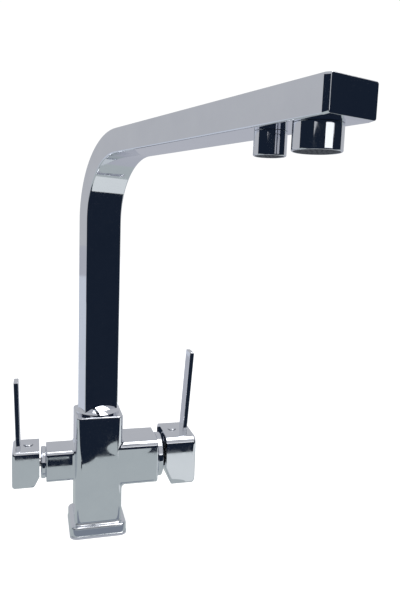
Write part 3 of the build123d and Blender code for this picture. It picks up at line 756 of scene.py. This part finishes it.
@dataclass
class OutletHead(SubAssembly):
    """One round outlet under the arm: a chrome sleeve with a thin rim and a dark plate of jets."""

    label: str
    sleeve_node: str
    insert_node: str
    bore: float
    rows: tuple[tuple[float, int], ...]
    rim: float = 1.1 * MM
    recess: float = 0.9 * MM
    plate: float = 0.8 * MM
    chamfer: float = 0.5 * MM
    jet_radius: float = 0.62 * MM
    jet_wall: float = 0.24 * MM
    jet_length: float = 0.45 * MM
    jet_depth: float = 0.36 * MM
    jet_faces: int = 16
    jet_smooth_angle: float = math.radians(40)
    play: float = 0.05 * MM
    plate_chamfer: float = 0.3 * MM
    sleeve_rounding: float = 0.18 * MM
    plate_rounding: float = 0.1 * MM
    foot: Vector = field(init=False)
    radius: float = field(init=False)
    height: float = field(init=False)

    def build(self) -> None:
        """Turn the sleeve and the plate, and set the jets in it."""
        low, high = (Vector(corner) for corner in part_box(self.sleeve_node))
        self.foot = Vector(((low.x + high.x) / 2, (low.y + high.y) / 2, low.z))
        self.radius = (high.x - low.x) / 2
        self.height = high.z - low.z
        self.place(self.sleeve(), "spout", self.sleeve_node, "chrome", Finish.CHROME)
        self.place(self.jet_plate(), "spout", self.insert_node, "plastic", Finish.JETS)

    def sleeve(self) -> bpy.types.Object:
        """The sleeve: a tube whose mouth is opened out so that only a thin rim is left.

        Returns:
            The sleeve.
        """
        mouth = self.radius - self.rim
        profile = [
            (self.bore, self.recess),
            (mouth, self.recess),
            (mouth, 0.0),
            (self.radius - self.chamfer, 0.0),
            (self.radius, self.chamfer),
            (self.radius, self.height),
            (self.bore, self.height),
            (self.bore, self.recess),
        ]
        piece = Bench.turn(f"{self.label}_sleeve_shell", profile, self.foot, Vector((0, 0, 1)))
        Bench.round_edges(piece, self.sleeve_rounding)
        return piece

    def jet_plate(self) -> bpy.types.Object:
        """The plate in the mouth, with rows of small open jets below it.

        Returns:
            The plate and its jets as one piece.
        """
        low, high = (Vector(corner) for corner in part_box(self.insert_node))
        edge = self.radius - self.rim - self.play
        body = self.bore - self.play
        profile = [
            (edge - self.plate_chamfer, self.recess - self.plate),
            (edge, self.recess - self.plate + self.plate_chamfer),
            (edge, self.recess),
            (body, self.recess),
            (body, high.z - self.foot.z),
        ]
        piece = Bench.turn(f"{self.label}_plate", profile, self.foot, Vector((0, 0, 1)))
        Bench.round_edges(piece, self.plate_rounding)
        jets = [self.jet()]
        for row, count in self.rows:
            for step in range(count):
                turn = 2 * math.pi * step / count
                jets.append(self.copy_of(jets[0], Vector((row * math.cos(turn), row * math.sin(turn), 0))))
        return Bench.join([piece, *jets], f"{self.label}_jet_plate")

    def jet(self) -> bpy.types.Object:
        """The middle jet: a short cylinder whose end face is inset and pushed in.

        Returns:
            The jet.
        """
        Bench.clear()
        top = self.foot + Vector((0, 0, self.recess - self.plate))
        bpy.ops.mesh.primitive_cylinder_add(
            vertices=self.jet_faces,
            radius=self.jet_radius,
            depth=self.jet_length,
            location=top - Vector((0, 0, self.jet_length / 2 - self.plate / 2)),
        )
        piece = bpy.context.object
        bpy.ops.object.transform_apply(location=True, rotation=True, scale=True)
        Bench.select_faces(piece, lambda centre, normal: normal.z < -0.9)
        bpy.ops.object.mode_set(mode="EDIT")
        bpy.ops.mesh.inset(thickness=self.jet_wall)
        bpy.ops.mesh.extrude_region_move(TRANSFORM_OT_translate={"value": (0, 0, self.jet_depth)})
        bpy.ops.object.mode_set(mode="OBJECT")
        bpy.ops.object.shade_smooth_by_angle(angle=self.jet_smooth_angle)
        return piece

    @staticmethod
    def copy_of(jet: bpy.types.Object, offset: Vector) -> bpy.types.Object:
        """A jet like another, with its own mesh, moved by an offset.

        Args:
            jet: The jet to copy.
            offset: How far the copy moves.

        Returns:
            The copy.
        """
        piece = jet.copy()
        piece.data = jet.data.copy()
        piece.data.transform(Matrix.Translation(offset))
        bpy.context.scene.collection.objects.link(piece)
        return piece


@dataclass
class NeckRing(SubAssembly):
    """The turned ring between a tee and its handle block, with a groove next to the tee."""

    name: str
    node: str
    axis: Vector
    start: float
    bore: float
    lip_bore: float
    lip: float
    shoulder: float
    tail: float
    tail_radius: float
    groove: float = 0.8 * MM
    groove_width: float = 0.9 * MM
    rounding: float = 0.55 * MM

    def build(self) -> None:
        """Turn the ring and put it on the body."""
        low, high = (Vector(corner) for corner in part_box(self.node))
        centre = (low + high) / 2
        radius = (high.z - low.z) / 2
        end = max(abs(low.x), abs(high.x)) - self.start
        foot = Vector((self.axis.x * self.start, centre.y, centre.z))
        profile = [(self.bore, -self.tail), (self.tail_radius, -self.tail)]
        if self.tail > 0:
            profile.append((self.tail_radius, 0.0))
        profile += [
            (radius - self.groove, 0.0),
            (radius - self.groove, self.groove_width),
            (radius, self.groove_width),
            (radius, end - self.shoulder),
            (radius - self.shoulder, end),
            (self.lip_bore, end),
            (self.lip_bore, end - self.lip),
            (self.bore, end - self.lip),
            (self.bore, -self.tail),
        ]
        piece = Bench.turn(self.name, profile, foot, self.axis)
        Bench.round_edges(piece, self.rounding, 4)
        self.place(piece, "body", self.node, "chrome", Finish.CHROME)


@dataclass
class ScrewButton(SubAssembly):
    """The domed chrome plug in a block's top, standing in a thin dark gap."""

    name: str
    node: str
    body: str
    gap: float = 0.45 * MM
    seat: float = 3.0 * MM
    stand: float = 0.35 * MM
    steps: int = 7
    dome_end: float = math.radians(86)
    rounding: float = 0.1 * MM

    def build(self) -> None:
        """Turn the plug: a straight shank, then a dome in steps up to a small flat."""
        low, high = (Vector(corner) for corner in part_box(self.node))
        foot = Vector(((low.x + high.x) / 2, (low.y + high.y) / 2, low.z))
        radius = (high.x - low.x) / 2 - self.gap
        rise = high.z - low.z - self.seat - self.stand
        profile = [(radius, 0.0)]
        for step in range(self.steps + 1):
            lift = self.dome_end * step / self.steps
            profile.append((radius * math.cos(lift), self.seat + self.stand + rise * math.sin(lift)))
        piece = Bench.turn(self.name, profile, foot, Vector((0, 0, 1)))
        Bench.round_edges(piece, self.rounding)
        self.place(piece, self.body, self.node, "chrome", Finish.CHROME)


# ------------------------------------------------------------------ the mixer

SLOT_FINISH = {
    "chrome": Finish.CHROME,
    "brass": Finish.BRASS,
    "stainless": Finish.STAINLESS,
    "rubber": Finish.RUBBER,
    "ceramic": Finish.CERAMIC,
    "plastic": Finish.ACETAL,
    "tube_plastic": Finish.WATER_TUBE,
}


def main() -> None:
    """Build the studio and the mixer's looks."""
    logging.basicConfig(level=logging.INFO, format="%(name)s: %(message)s")
    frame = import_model()
    finishes = Finishes()
    for part in frame["record"]["subparts"]:
        finishes.dress(frame["nodes"][part["node"]], SLOT_FINISH[part["material_slot"]])
    Studio().build()
    OutletHead(
        finishes,
        "main",
        "main_aerator_sleeve",
        "main_aerator_insert",
        bore=12.0 * MM,
        rows=((3.0 * MM, 6), (6.0 * MM, 12), (9.2 * MM, 18)),
    ).build()
    OutletHead(
        finishes,
        "filter",
        "filter_outlet_sleeve",
        "filter_outlet_insert",
        bore=8.0 * MM,
        rows=((2.6 * MM, 6), (5.4 * MM, 12)),
    ).build()
    NeckRing(
        finishes,
        "mixer_neck_shell",
        "mixer_neck_ring",
        axis=Vector((1, 0, 0)),
        start=59.0 * MM,
        bore=16.0 * MM,
        lip_bore=12.5 * MM,
        lip=2.0 * MM,
        shoulder=0.8 * MM,
        tail=1.0 * MM,
        tail_radius=18.5 * MM,
    ).build()
    NeckRing(
        finishes,
        "filter_neck_shell",
        "filter_neck_ring",
        axis=Vector((-1, 0, 0)),
        start=50.5 * MM,
        bore=13.0 * MM,
        lip_bore=6.5 * MM,
        lip=1.5 * MM,
        shoulder=1.0 * MM,
        tail=0.0,
        tail_radius=14.0 * MM,
    ).build()
    ScrewButton(finishes, "mixer_screw_button", "mixer_screw_cap", "mixer_handle").build()
    ScrewButton(finishes, "filter_screw_button", "filter_screw_cap", "filter_handle").build()


if __name__ == "__main__":
    main()
